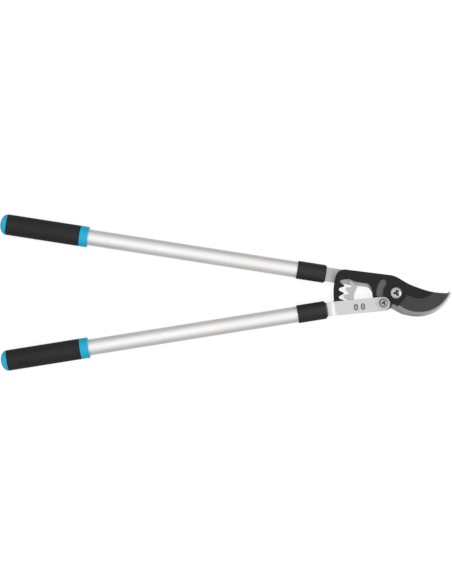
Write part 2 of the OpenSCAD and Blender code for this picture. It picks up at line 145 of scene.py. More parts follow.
def makeFloor():
    # white paper: it glows for the camera, and less strongly in what the metal mirrors
    half, z = floorLook["size"] / 2, -floorLook["drop"]
    corners = [(-half, -half, z), (half, -half, z), (half, half, z), (-half, half, z)]
    mesh = bpy.data.meshes.new("floor")
    mesh.from_pydata(corners, [], [(0, 1, 2, 3)])
    floor = bpy.data.objects.new("floor", mesh)
    bpy.context.scene.collection.objects.link(floor)
    material = bpy.data.materials.new("floorPaper")
    material.use_nodes = True
    tree = material.node_tree
    tree.nodes.clear()
    diffuse = tree.nodes.new("ShaderNodeBsdfDiffuse")
    diffuse.inputs["Color"].default_value = (*[floorLook["albedo"]] * 3, 1)
    path = tree.nodes.new("ShaderNodeLightPath").outputs
    seen = mathNode(tree, "MULTIPLY_ADD", path["Is Glossy Ray"], floorLook["inMetal"], path["Is Camera Ray"])
    glow = tree.nodes.new("ShaderNodeEmission")
    tree.links.new(mathNode(tree, "MULTIPLY", seen, floorLook["glow"]), glow.inputs["Strength"])
    both = tree.nodes.new("ShaderNodeAddShader")
    tree.links.new(diffuse.outputs[0], both.inputs[0])
    tree.links.new(glow.outputs[0], both.inputs[1])
    output = tree.nodes.new("ShaderNodeOutputMaterial")
    tree.links.new(both.outputs[0], output.inputs["Surface"])
    mesh.materials.append(material)


makeCamera()
makeSky()
for side in (-1, 1):
    place = (sideLamps["along"], side * sideLamps["apart"], sideLamps["height"])
    makeLamp("sideSoftbox", {**sideLamps, "place": place, "target": (sideLamps["along"], 0, 0)})
makeLamp("bendSoftbox", bendLamp)
makeLamp("keySoftbox", keyLamp)
makeFloor()
bpy.context.scene.view_settings.view_transform = "Standard"
print("stage: camera, lamps and floor are set")


def noiseNode(tree, vector, scale, detail=3.0, roughness=0.55):
    node = tree.nodes.new("ShaderNodeTexNoise")
    node.inputs["Detail"].default_value = detail
    node.inputs["Roughness"].default_value = roughness
    if isinstance(scale, (int, float)):
        node.inputs["Scale"].default_value = scale
    else:
        tree.links.new(scale, node.inputs["Scale"])
    tree.links.new(vector, node.inputs["Vector"])
    return node.outputs["Fac"]


def overNoise(tree, noise, toLow, toHigh):
    # most of a noise texture's values lie between these two
    return mapRange(tree, noise, 0.3, 0.7, toLow, toHigh)


def makeGrainGroup():
    # a fine even grain with slow patches, as on blasted steel, moulded nylon or rubber
    tree, start, end = newGroup("fineGrain", [
        ("Vector", "NodeSocketVector", None), ("Grain Scale", "NodeSocketFloat", 2500.0),
        ("Patch Scale", "NodeSocketFloat", 18.0), ("Patch Amount", "NodeSocketFloat", 0.1)],
        [("Tone", "NodeSocketFloat"), ("Height", "NodeSocketFloat"), ("Patch", "NodeSocketFloat")])
    vector = start.outputs["Vector"]
    grain = noiseNode(tree, vector, start.outputs["Grain Scale"], 2.0)
    patch = noiseNode(tree, vector, start.outputs["Patch Scale"], 4.0, 0.6)
    centred = mathNode(tree, "MULTIPLY_ADD", patch, 2.0, -1.0)  # from -1 to 1
    amount = mathNode(tree, "MULTIPLY", centred, start.outputs["Patch Amount"])
    tone = mathNode(tree, "ADD", amount, 1.0)
    tree.links.new(tone, end.inputs["Tone"])
    tree.links.new(grain, end.inputs["Height"])
    tree.links.new(patch, end.inputs["Patch"])
    return tree


def makeBrushGroup():
    # fine lines that run along the vector's X
    tree, start, end = newGroup("brushLines", [
        ("Vector", "NodeSocketVector", None), ("Line Scale", "NodeSocketFloat", 900.0),
        ("Stretch", "NodeSocketFloat", 0.02)],
        [("Lines", "NodeSocketFloat"), ("Scratches", "NodeSocketFloat")])
    shape = tree.nodes.new("ShaderNodeCombineXYZ")
    split = tree.nodes.new("ShaderNodeSeparateXYZ")
    tree.links.new(start.outputs["Vector"], split.inputs[0])
    stretched = mathNode(tree, "MULTIPLY", split.outputs["X"], start.outputs["Stretch"])
    tree.links.new(stretched, shape.inputs["X"])
    tree.links.new(split.outputs["Y"], shape.inputs["Y"])
    tree.links.new(split.outputs["Z"], shape.inputs["Z"])
    lines = noiseNode(tree, shape.outputs[0], start.outputs["Line Scale"], 4.0, 0.65)
    sparseScale = mathNode(tree, "MULTIPLY", start.outputs["Line Scale"], 0.3)
    sparse = noiseNode(tree, shape.outputs[0], sparseScale, 1.0)
    tree.links.new(lines, end.inputs["Lines"])
    tree.links.new(mapRange(tree, sparse, 0.66, 0.72, 0.0, 1.0), end.inputs["Scratches"])
    return tree


def makeScuffGroup():
    # light handling marks in random directions
    tree, start, end = newGroup("handlingScuffs", [
        ("Vector", "NodeSocketVector", None), ("Scale", "NodeSocketFloat", 60.0)],
        [("Scuffs", "NodeSocketFloat")])
    vector = start.outputs["Vector"]
    warp = tree.nodes.new("ShaderNodeTexNoise")
    warp.inputs["Scale"].default_value = 9.0
    tree.links.new(vector, warp.inputs["Vector"])
    shifted = tree.nodes.new("ShaderNodeVectorMath")
    shifted.operation = "MULTIPLY_ADD"
    shifted.inputs[1].default_value = (0.06, 0.06, 0.06)
    tree.links.new(warp.outputs["Color"], shifted.inputs[0])
    tree.links.new(vector, shifted.inputs[2])
    cells = tree.nodes.new("ShaderNodeTexVoronoi")
    cells.feature = "DISTANCE_TO_EDGE"
    tree.links.new(shifted.outputs[0], cells.inputs["Vector"])
    tree.links.new(start.outputs["Scale"], cells.inputs["Scale"])
    near = mapRange(tree, cells.outputs["Distance"], 0.0, 0.02, 1.0, 0.0)
    where = mapRange(tree, noiseNode(tree, vector, 35.0, 2.0), 0.55, 0.68, 0.0, 1.0)
    tree.links.new(mathNode(tree, "MULTIPLY", near, where), end.inputs["Scuffs"])
    return tree


groups = {"grain": makeGrainGroup(), "brush": makeBrushGroup(), "scuffs": makeScuffGroup()}


def useGroup(tree, name, **values):
    node = tree.nodes.new("ShaderNodeGroup")
    node.node_tree = groups[name]
    for label, value in values.items():
        socket = node.inputs[label.replace("_", " ")]
        if isinstance(value, (int, float)):
            socket.default_value = value
        else:
            tree.links.new(value, socket)
    return node


def startMaterial(name, metallic=0.0, roughness=0.5, specular=0.5, coat=0.0, coatRoughness=0.1):
    material = bpy.data.materials.new(name)
    material.use_nodes = True
    tree = material.node_tree
    shader = tree.nodes["Principled BSDF"]
    shader.inputs["Metallic"].default_value = metallic
    shader.inputs["Roughness"].default_value = roughness
    shader.inputs["Specular IOR Level"].default_value = specular
    shader.inputs["Coat Weight"].default_value = coat
    shader.inputs["Coat Roughness"].default_value = coatRoughness
    place = tree.nodes.new("ShaderNodeTexCoord").outputs["Object"]
    return material, tree, shader, place


def turned(tree, vector, angle=0.0, centre=(0, 0, 0)):
    node = tree.nodes.new("ShaderNodeMapping")
    node.vector_type = "TEXTURE"
    node.inputs["Location"].default_value = centre
    node.inputs["Rotation"].default_value = (0, 0, angle)
    tree.links.new(vector, node.inputs["Vector"])
    return node.outputs[0]


def addBump(tree, shader, height, distance, strength=0.5):
    bump = tree.nodes.new("ShaderNodeBump")
    bump.inputs["Distance"].default_value = distance
    bump.inputs["Strength"].default_value = strength
    tree.links.new(height, bump.inputs["Height"])
    tree.links.new(bump.outputs[0], shader.inputs["Normal"])


def scaledColour(tree, colour, tone):
    node = tree.nodes.new("ShaderNodeVectorMath")
    node.operation = "SCALE"
    if isinstance(colour, tuple):
        node.inputs[0].default_value = colour
    else:
        tree.links.new(colour, node.inputs[0])
    tree.links.new(tone, node.inputs["Scale"])
    return node.outputs[0]


# base colours are linear
steelDetail = {"lineScale": 1100.0, "patchScale": 30.0, "scuffScale": 70.0, "lineTones": (0.94, 1.05),
               "scuffTone": 0.1, "lineRough": 0.02, "patchRough": 0.06}
steelLook = {
    "sectorSteel": {"colour": (0.48, 0.475, 0.47), "roughness": 0.4, "angle": 0.5, "stretch": 0.3,
                    "spread": 0.08, "relief": 0.00003},
    "rivetSteel": {"colour": (0.42, 0.42, 0.42), "roughness": 0.32, "angle": 0.0, "stretch": 1.0,
                   "spread": 0.1, "relief": 0.00003},
    "zincSteel": {"colour": (0.5, 0.51, 0.53), "roughness": 0.34, "angle": 0.0, "stretch": 1.0,
                  "spread": 0.12, "relief": 0.00003},
}
bladeLook = {
    "edgeCentre": (0.0386, 0.0226), "edgeRadius": 0.0571, "bevel": 0.0026, "grindRadius": 0.0319,
    "grindCorner": (0.0031, -0.0226), "grindAngle": math.radians(50.7),
    "coating": (0.0085, 0.0085, 0.009), "ground": (0.06, 0.0585, 0.059), "bare": (0.46, 0.455, 0.45),
    "groundMetal": 0.7, "bareMetal": 0.55, "frontLevels": (0.0121, 0.0123), "endBlur": 0.0001,
    "grindBlur": (-0.00005, 0.00015), "bevelBlur": 0.00008, "coatRough": (0.46, 0.56),
    "groundRough": (0.36, 0.48), "lineTones": (0.86, 1.12), "scuffTone": 0.7, "relief": 0.00003}
# hook colours: the head's is darker as painted shade, a darker one is a painted shadow near the pivot, and
# the tip's is lighter as a painted highlight
hookLook = {
    "shank": (0.4, 0.395, 0.391), "head": (0.26, 0.256, 0.253), "tip": (0.66, 0.655, 0.65),
    "paintedShade": (0.13, 0.128, 0.127), "roughness": 0.42, "shadeCentre": (-0.027, 0.0), "shadeRadius": 0.02,
    "shadeFade": 0.008, "shankStart": -0.038, "shankFull": -0.05, "tipStart": 0.03, "tipFull": 0.08,
    "angle": 0.0, "stretch": 0.25, "spread": 0.07, "relief": 0.00003, "metallic": 0.65}
# lever colours: the darker tone is painted shade in the recesses and over the round end
leverLook = {
    "colour": (0.7, 0.695, 0.69), "shadeTone": (0.07, 0.068, 0.066), "roughness": 0.29, "angle": 0.1,
    "stretch": 0.25, "spread": 0.05, "relief": 0.000008, "boltRecess": 0.0076, "rivetRecess": 0.0064,
    "recessBlur": 0.0002, "shadedSide": (-0.001, 0.003), "recessShadeLevels": (0.0208, 0.0212),
    "paintedShade": 0.3, "shadeEnd": 0.0155}
# the darker chrome tone is painted shade inside the socket; three patches stay bright to give glints
chromeLook = {"colour": (0.62, 0.63, 0.645), "socketShade": (0.06, 0.058, 0.056), "roughness": (0.25, 0.33),
              "socketShadeEdge": (0.96, 1.02), "socketShadeLevels": (0.0012, 0.0016), "patches": 3, "patchEdge": (0.3, 0.45),
              "patchAngle": math.radians(5), "scuffRough": 0.12, "relief": 0.000008}
bronzeLook = {"colour": (0.42, 0.3, 0.14), "roughness": (0.34, 0.48), "relief": 0.00002}
tubeLook = {"colour": (0.88, 0.87, 0.862), "roughness": (0.43, 0.5), "metallic": 0.85, "coat": 0.15,
            "coatRoughness": 0.25, "lineTones": (0.97, 1.025), "scratchRough": -0.05, "relief": 0.000012}
mouldedLook = {
    "ferruleNylon": {"colour": (0.013, 0.013, 0.013), "roughness": (0.41, 0.52), "specular": 0.4,
                     "spread": 0.08, "grainScale": 1500.0, "relief": 0.00006},
    "sleeveRubber": {"colour": (0.009, 0.009, 0.0092), "roughness": (0.53, 0.64), "specular": 0.4,
                     "spread": 0.1, "grainScale": 1100.0, "relief": 0.00012},
    "gripBlue": {"colour": (0.006, 0.45, 0.72), "roughness": (0.31, 0.42), "specular": 0.35,
                 "spread": 0.04, "grainScale": 2600.0, "relief": 0.00002},
}


def flatDistance(tree, place, centre):
    flat = tree.nodes.new("ShaderNodeVectorMath")
    flat.operation = "MULTIPLY"
    flat.inputs[1].default_value = (1, 1, 0)
    tree.links.new(place, flat.inputs[0])
    distance = tree.nodes.new("ShaderNodeVectorMath")
    distance.operation = "DISTANCE"
    distance.inputs[1].default_value = (centre[0], centre[1], 0)
    tree.links.new(flat.outputs[0], distance.inputs[0])
    return distance.outputs["Value"]


def steelFinish(tree, shader, place, look, colour):
    # satin steel: fine lines, slow patches and a few handling marks over the given colour
    detail = steelDetail
    along = turned(tree, place, look["angle"])
    brush = useGroup(tree, "brush", Vector=along, Line_Scale=detail["lineScale"], Stretch=look["stretch"])
    grain = useGroup(tree, "grain", Vector=place, Patch_Amount=look["spread"],
                     Patch_Scale=detail["patchScale"])
    scuffs = useGroup(tree, "scuffs", Vector=place, Scale=detail["scuffScale"])
    lines = brush.outputs["Lines"]
    tone = mathNode(tree, "MULTIPLY", overNoise(tree, lines, *detail["lineTones"]), grain.outputs["Tone"])
    brighter = mathNode(tree, "MULTIPLY_ADD", scuffs.outputs["Scuffs"], detail["scuffTone"], tone)
    tree.links.new(scaledColour(tree, colour, brighter), shader.inputs["Base Color"])
    low, high = look["roughness"] - detail["lineRough"], look["roughness"] + detail["lineRough"]
    patchy = mathNode(tree, "MULTIPLY_ADD", grain.outputs["Patch"], detail["patchRough"],
                      overNoise(tree, lines, low, high))
    centred = mathNode(tree, "SUBTRACT", patchy, detail["patchRough"] / 2, clamp=True)
    tree.links.new(centred, shader.inputs["Roughness"])
    addBump(tree, shader, mathNode(tree, "ADD", grain.outputs["Height"], lines), look["relief"])


def steelMaterial(name):
    material, tree, shader, place = startMaterial(name, metallic=1.0)
    steelFinish(tree, shader, place, steelLook[name], steelLook[name]["colour"])
    return material


def hookMaterial():
    # the shank is lighter; the hook's head is darker as painted shade, a painted shadow darkens a round spot
    # near the pivot, and the tip is lighter as a painted highlight
    material, tree, shader, place = startMaterial("hookSteel", metallic=hookLook["metallic"])
    look = hookLook
    # painted shadow: a round spot near the pivot is darkened
    paintedShade = mapRange(tree, flatDistance(tree, place, look["shadeCentre"]), look["shadeRadius"],
                    look["shadeRadius"] + look["shadeFade"], 1.0, 0.0, smoothed=True)
    x = part(tree, place, "X")
    shank = mapRange(tree, x, look["shankFull"], look["shankStart"], 1.0, 0.0, smoothed=True)
    # painted highlight: the hook grows lighter towards its tip at +X
    tip = mapRange(tree, x, look["tipStart"], look["tipFull"], 0.0, 1.0, smoothed=True)
    head = mixColour(tree, paintedShade, mixColour(tree, tip, look["head"], look["tip"]), look["paintedShade"])
    steelFinish(tree, shader, place, look, mixColour(tree, shank, head, look["shank"]))
    return material


def leverMaterial(bolt, rivets):
    # painted shade darkens the recess on the left side of the bolt's head and the recesses round the rivets'
    # heads
    material, tree, shader, place = startMaterial("leverSteel", metallic=1.0)
    look = leverLook

    def recess(centre, radius):
        distance = flatDistance(tree, place, centre)
        return mapRange(tree, distance, radius, radius + look["recessBlur"], 1.0, 0.0)

    x = part(tree, place, "X")
    # the painted shade covers only the bolt head's left side, away from the key lamp
    shadedSide = mapRange(tree, x, *[bolt[0] + shift for shift in look["shadedSide"]], 1.0, 0.0)
    spots = mathNode(tree, "MULTIPLY", recess(bolt, look["boltRecess"]), shadedSide)
    for rivet in rivets:
        spots = mathNode(tree, "MAXIMUM", spots, recess(rivet, look["rivetRecess"]))
    below = mapRange(tree, part(tree, place, "Z"), *look["recessShadeLevels"], 1.0, 0.0)
    recessShade = mathNode(tree, "MULTIPLY", spots, below)
    # painted shade darkens the round end around the bolt
    paintedShade = mapRange(tree, flatDistance(tree, place, bolt), look["boltRecess"], look["shadeEnd"],
                    look["paintedShade"], 0.0)
    colour = mixColour(tree, paintedShade, look["colour"], look["shadeTone"])
    steelFinish(tree, shader, place, look, mixColour(tree, recessShade, colour, look["shadeTone"]))
    return material


def bladeMaterial():
    # black coating, with a ground area along the edge and a bare bevel, both on the front only
    look = bladeLook
    material, tree, shader, place = startMaterial("bladeCoating", specular=0.25)
    fromCentre = turned(tree, place, centre=(*look["edgeCentre"], 0))
    radius = flatDistance(tree, place, look["edgeCentre"])
    angle = mathNode(tree, "ARCTAN2", part(tree, fromCentre, "Y"), part(tree, fromCentre, "X"))
    # the grind's own place: its straight end is the X axis there
    corner = turned(tree, place, look["grindAngle"], (*look["grindCorner"], 0))
    beyondEnd = mapRange(tree, part(tree, corner, "Y"), 0.0, look["endBlur"], 1.0, 0.0)
    front = mapRange(tree, part(tree, place, "Z"), *look["frontLevels"], 0.0, 1.0)

    def frontBeyond(low, high):
        area = mapRange(tree, radius, low, high, 0.0, 1.0)
        return mathNode(tree, "MULTIPLY", mathNode(tree, "MULTIPLY", area, beyondEnd), front)

    ground = frontBeyond(*[look["grindRadius"] + shift for shift in look["grindBlur"]])
    edgeStart = look["edgeRadius"] - look["bevel"]
    bevel = frontBeyond(edgeStart - look["bevelBlur"], edgeStart + look["bevelBlur"])
    # grinding lines run across the edge, from the centre outwards
    polar = tree.nodes.new("ShaderNodeCombineXYZ")
    tree.links.new(mathNode(tree, "MULTIPLY", radius, 0.04), polar.inputs["X"])
    tree.links.new(mathNode(tree, "MULTIPLY", angle, 0.05), polar.inputs["Y"])
    grindLines = noiseNode(tree, polar.outputs[0], 1400.0, 4.0, 0.6)
    grain = useGroup(tree, "grain", Vector=place, Patch_Amount=0.12, Patch_Scale=25.0, Grain_Scale=3200.0)
    scuffs = useGroup(tree, "scuffs", Vector=place, Scale=55.0)
    lineTone = overNoise(tree, grindLines, *look["lineTones"])
    coatTone = mathNode(tree, "MULTIPLY_ADD", scuffs.outputs["Scuffs"], look["scuffTone"],
                        grain.outputs["Tone"])
    groundTone = mathNode(tree, "MULTIPLY", lineTone, grain.outputs["Tone"])
    coated = scaledColour(tree, look["coating"], coatTone)
    withGround = mixColour(tree, ground, coated, scaledColour(tree, look["ground"], groundTone))
    withBare = mixColour(tree, bevel, withGround, scaledColour(tree, look["bare"], lineTone))
    tree.links.new(withBare, shader.inputs["Base Color"])
    groundMetal = mathNode(tree, "MULTIPLY", ground, look["groundMetal"])
    tree.links.new(mapRange(tree, bevel, 0.0, 1.0, groundMetal, look["bareMetal"]), shader.inputs["Metallic"])
    coatRough = overNoise(tree, grain.outputs["Patch"], *look["coatRough"])
    groundRough = overNoise(tree, grindLines, *look["groundRough"])
    tree.links.new(mapRange(tree, ground, 0.0, 1.0, coatRough, groundRough), shader.inputs["Roughness"])
    lineRelief = mathNode(tree, "MULTIPLY", grindLines, ground)
    addBump(tree, shader, mathNode(tree, "ADD", grain.outputs["Height"], lineRelief), look["relief"])
    return material


def chromeMaterial(name, centre, socket, floorLevel):
    # bright bolt head; painted shade darkens its hexagon socket, apart from three patches left bright to give
    # glints
    look = chromeLook
    material, tree, shader, place = startMaterial(name, metallic=1.0)
    grain = useGroup(tree, "grain", Vector=place, Patch_Amount=0.06, Patch_Scale=120.0, Grain_Scale=1500.0)
    scuffs = useGroup(tree, "scuffs", Vector=place, Scale=220.0)
    distance = flatDistance(tree, place, centre)
    inside = mapRange(tree, distance, *[socket * share for share in look["socketShadeEdge"]], 1.0, 0.0)
    levels = [floorLevel + rise for rise in look["socketShadeLevels"]]
    below = mapRange(tree, part(tree, place, "Z"), *levels, 1.0, 0.0)
    fromCentre = turned(tree, place, look["patchAngle"], centre)
    around = mathNode(tree, "ARCTAN2", part(tree, fromCentre, "Y"), part(tree, fromCentre, "X"))
    lobes = mathNode(tree, "COSINE", mathNode(tree, "MULTIPLY", around, look["patches"]))
    betweenPatches = mapRange(tree, mathNode(tree, "MULTIPLY", lobes, distance),
                      *[socket * share for share in look["patchEdge"]], 1.0, 0.0)
    # painted shade fills the socket below its rim, except for the three bright patches
    shadedSocket = mathNode(tree, "MULTIPLY", mathNode(tree, "MULTIPLY", inside, below), betweenPatches)
    colour = mixColour(tree, shadedSocket, look["colour"], look["socketShade"])
    tree.links.new(scaledColour(tree, colour, grain.outputs["Tone"]), shader.inputs["Base Color"])
    rough = overNoise(tree, grain.outputs["Patch"], *look["roughness"])
    scuffed = mathNode(tree, "MULTIPLY_ADD", scuffs.outputs["Scuffs"], look["scuffRough"], rough)
    tree.links.new(scuffed, shader.inputs["Roughness"])
    addBump(tree, shader, grain.outputs["Height"], look["relief"], 0.4)
    return material


def bronzeMaterial():
    look = bronzeLook
    material, tree, shader, place = startMaterial("bushBronze", metallic=1.0)
    grain = useGroup(tree, "grain", Vector=place, Patch_Amount=0.25, Patch_Scale=300.0, Grain_Scale=2500.0)
    tree.links.new(scaledColour(tree, look["colour"], grain.outputs["Tone"]), shader.inputs["Base Color"])
    tree.links.new(overNoise(tree, grain.outputs["Patch"], *look["roughness"]), shader.inputs["Roughness"])
    addBump(tree, shader, grain.outputs["Height"], look["relief"])
    return material


def tubeMaterial(name, angle):
    # satin anodised aluminium with the faint lines of its extrusion
    look = tubeLook
    material, tree, shader, place = startMaterial(name, metallic=look["metallic"], coat=look["coat"],
                                                  coatRoughness=look["coatRoughness"])
    brush = useGroup(tree, "brush", Vector=turned(tree, place, angle), Line_Scale=700.0, Stretch=0.006)
    grain = useGroup(tree, "grain", Vector=place, Patch_Amount=0.03, Patch_Scale=14.0, Grain_Scale=4000.0)
    lines = brush.outputs["Lines"]
    tone = mathNode(tree, "MULTIPLY", overNoise(tree, lines, *look["lineTones"]), grain.outputs["Tone"])
    tree.links.new(scaledColour(tree, look["colour"], tone), shader.inputs["Base Color"])
    rough = overNoise(tree, lines, *look["roughness"])
    scratched = mathNode(tree, "MULTIPLY_ADD", brush.outputs["Scratches"], look["scratchRough"], rough)
    tree.links.new(scratched, shader.inputs["Roughness"])
    addBump(tree, shader, mathNode(tree, "MULTIPLY_ADD", grain.outputs["Height"], 0.4, lines), look["relief"])
    return material


def mouldedMaterial(name):
    look = mouldedLook[name]
    material, tree, shader, place = startMaterial(name, specular=look["specular"])
    grain = useGroup(tree, "grain", Vector=place, Patch_Amount=look["spread"], Patch_Scale=22.0,
                     Grain_Scale=look["grainScale"])
    scuffs = useGroup(tree, "scuffs", Vector=place, Scale=65.0)
    tone = mathNode(tree, "MULTIPLY_ADD", scuffs.outputs["Scuffs"], look["spread"] * 2, grain.outputs["Tone"])
    tree.links.new(scaledColour(tree, look["colour"], tone), shader.inputs["Base Color"])
    tree.links.new(overNoise(tree, grain.outputs["Patch"], *look["roughness"]), shader.inputs["Roughness"])
    addBump(tree, shader, grain.outputs["Height"], look["relief"], 0.6)
    return material


merging = {"gap": 3e-6, "flatAngle": math.radians(0.6)}


def mergedCopy(node):
    bm = bmesh.new()
    bm.from_mesh(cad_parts[node].data)
    bmesh.ops.remove_doubles(bm, verts=bm.verts, dist=merging["gap"])
    bmesh.ops.dissolve_limit(bm, angle_limit=merging["flatAngle"], verts=bm.verts, edges=bm.edges,
                             use_dissolve_boundaries=False)
    return bm


def islands(node):
    # the lowest and highest corner of each loose part of a node
    bm = mergedCopy(node)
    left, boxes = set(bm.verts), []
    while left:
        group, edge = set(), [left.pop()]
        while edge:
            vert = edge.pop()
            group.add(vert)
            near = {other for link in vert.link_edges for other in link.verts} & left
            left -= near
            edge.extend(near)
        points = [v.co for v in group]
        boxes.append([Vector([pick(p[i] for p in points) for i in range(3)]) for pick in (min, max)])
    bm.free()
    return sorted(boxes, key=lambda box: box[0].x)


boltCentre = (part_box("lever_washer")[0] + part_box("lever_washer")[1]) / 2
rivetBoxes = islands("sector_rivets")
rivetCentres = [(low + high) / 2 for low, high in rivetBoxes]

materials = {name: steelMaterial(name) for name in steelLook}
materials["hookSteel"] = hookMaterial()
materials["leverSteel"] = leverMaterial(boltCentre, rivetCentres)
materials["blade"] = bladeMaterial()
materials["bronze"] = bronzeMaterial()
materials.update({name: mouldedMaterial(name) for name in mouldedLook})
print("stage: materials are made")


def addPiece(name, mesh, body, material, slot, *nodes):
    obj = bpy.data.objects.new(name, mesh)
    bpy.context.scene.collection.objects.link(obj)
    if material is not None:
        mesh.materials.clear()
        mesh.materials.append(material)
    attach(obj, body)
    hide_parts(*nodes)
    return obj


def roundBend(bm):
    # the two bends of a cranked plate, which lie between large faces that tilt a little apart
    edges = []
    for edge in bm.edges:
        if len(edge.link_faces) != 2 or edge.calc_length() <= bend["shortest"]:
            continue
        a, b = (face.normal for face in edge.link_faces)
        level = min(abs(a.z), abs(b.z)) > bend["level"]
        if level and bend["tilts"][0] < math.degrees(a.angle(b, 0)) < bend["tilts"][1]:
            edges.append(edge)
    bmesh.ops.bevel(bm, geom=edges, offset=bend["width"], segments=bend["steps"], profile=0.5, affect="EDGES",
                    clamp_overlap=True)
    return len(edges)


def softenEdges(obj, width, angle=28, segments=2, slivers=0):
    for face in obj.data.polygons:
        face.use_smooth = True
    bevel = obj.modifiers.new("roundEdges", "BEVEL")
    bevel.width = width
    bevel.segments = segments
    bevel.limit_method = "ANGLE"
    bevel.angle_limit = math.radians(angle)
    if slivers:
        obj.modifiers.new("weldSlivers", "WELD").merge_threshold = slivers
    obj.modifiers.new("flatFaces", "WEIGHTED_NORMAL").weight = 80


def finishPlate(bm, name, body, material, slot, node, round, segments=2):
    mesh = bpy.data.meshes.new(name)
    bm.to_mesh(mesh)
    bm.free()
    softenEdges(addPiece(name, mesh, body, material, slot, node), round, 24, segments, slivers=2e-6)


plates = {
    "blade": {"body": "blade", "material": "blade", "slot": "blade_coated", "round": 0.00018},
    "hook": {"body": "hook_side", "material": "hookSteel", "slot": "hook_steel", "round": 0.0004},
    "lever": {"body": "lever_side", "material": "leverSteel", "slot": "lever_steel", "round": 0.0005},
    "gear_sector": {"body": "lever_side", "material": "sectorSteel", "slot": "sector_steel", "round": 0.0003},
}
bend = {"width": 0.0045, "steps": 8, "tilts": (10, 25), "level": 0.9, "shortest": 0.01}

for node, facts in plates.items():
    bm = mergedCopy(node)
    if node in ("hook", "lever"):
        print("bends rounded:", node, roundBend(bm))
    finishPlate(bm, node + "_plate", facts["body"], materials[facts["material"]], facts["slot"], node,
                facts["round"])
print("stage: plates are made")


def newTree(name, inputs):
    tree = bpy.data.node_groups.new(name, "GeometryNodeTree")
    tree.interface.new_socket(name="Geometry", in_out="INPUT", socket_type="NodeSocketGeometry")
    for label, kind, value in inputs + [("Material", "NodeSocketMaterial", None)]:
        socket = tree.interface.new_socket(name=label, in_out="INPUT", socket_type=kind)
        if value is not None:
            socket.default_value = value
    tree.interface.new_socket(name="Geometry", in_out="OUTPUT", socket_type="NodeSocketGeometry")
    return tree, tree.nodes.new("NodeGroupInput").outputs


def addNode(tree, kind, inputs, **settings):
    node = tree.nodes.new(kind)
    for label, value in settings.items():
        setattr(node, label, value)
    for label, value in inputs.items():
        sockets = [socket for socket in node.inputs if socket.name == label and socket.enabled]
        for item in value if isinstance(value, list) else [value]:
            if isinstance(item, bpy.types.NodeSocket):
                tree.links.new(item, sockets[0])
            else:
                sockets[0].default_value = item
    return next(socket for socket in node.outputs if socket.enabled)


def combine(tree, operation, first, *others):
    inputs = {"Mesh": [first, *others]}
    if operation == "DIFFERENCE":
        inputs = {"Mesh 1": first, "Mesh 2": [*others]}
    return addNode(tree, "GeometryNodeMeshBoolean", inputs, operation=operation, solver="EXACT")


def moved(tree, geometry, height, share):
    # lifts the geometry by a share of the given height
    up = tree.nodes.new("ShaderNodeCombineXYZ")
    tree.links.new(mathNode(tree, "MULTIPLY", height, share), up.inputs["Z"])
    return addNode(tree, "GeometryNodeTransform", {"Geometry": geometry, "Translation": up.outputs[0]})


def endTree(tree, geometry, inputs):
    real = addNode(tree, "GeometryNodeRealizeInstances", {"Geometry": geometry})
    dressed = addNode(tree, "GeometryNodeSetMaterial", {"Geometry": real, "Material": inputs["Material"]})
    tree.links.new(dressed, tree.nodes.new("NodeGroupOutput").inputs["Geometry"])
    return tree


def bakeTree(name, mesh, tree, **values):
    obj = bpy.data.objects.new(name, mesh)
    bpy.context.scene.collection.objects.link(obj)
    modifier = obj.modifiers.new("tree", "NODES")
    modifier.node_group = tree
    sockets = {item.name: item.identifier for item in tree.interface.items_tree if item.in_out == "INPUT"}
    for label, value in values.items():
        modifier[sockets[label.replace("_", " ")]] = value
    evaluated = obj.evaluated_get(bpy.context.evaluated_depsgraph_get())
    result = bpy.data.meshes.new_from_object(evaluated)
    obj.modifiers.remove(modifier)
    bpy.data.objects.remove(obj)
    result.name = name
    return result


def pointsMesh(places):
    mesh = bpy.data.meshes.new("places")
    mesh.from_pydata([tuple(place) for place in places], [], [])
    return mesh


def makeNutTree():
    # hexagon nuts with chamfered corners and a bore, one at each point
    tree, inputs = newTree("chamferedNut", [
        ("Corner Radius", "NodeSocketFloat", 0.0098), ("Height", "NodeSocketFloat", 0.0055),
        ("Bore", "NodeSocketFloat", 0.01), ("Chamfer Radius", "NodeSocketFloat", 0.0083),
        ("Chamfer Slope", "NodeSocketFloat", 1.8)])
    height, near = inputs["Height"], inputs["Chamfer Radius"]
    body = addNode(tree, "GeometryNodeMeshCylinder", {
        "Vertices": 6, "Radius": inputs["Corner Radius"], "Depth": height})
    far = mathNode(tree, "ADD", near, mathNode(tree, "MULTIPLY", height, inputs["Chamfer Slope"]))
    cones = []
    for top, bottom in ((near, far), (far, near)):
        cone = addNode(tree, "GeometryNodeMeshCone", {
            "Vertices": 64, "Radius Top": top, "Radius Bottom": bottom, "Depth": height})
        cones.append(moved(tree, cone, height, -0.5))
    bore = addNode(tree, "GeometryNodeMeshCylinder", {
        "Vertices": 64, "Radius": mathNode(tree, "MULTIPLY", inputs["Bore"], 0.5),
        "Depth": mathNode(tree, "MULTIPLY", height, 2.0)})
    nut = combine(tree, "DIFFERENCE", combine(tree, "INTERSECT", body, *cones), bore)
    welded = addNode(tree, "GeometryNodeMergeByDistance", {"Geometry": nut, "Distance": 3e-6})
    placed = addNode(tree, "GeometryNodeInstanceOnPoints", {"Points": inputs["Geometry"], "Instance": welded})
    return endTree(tree, placed, inputs)


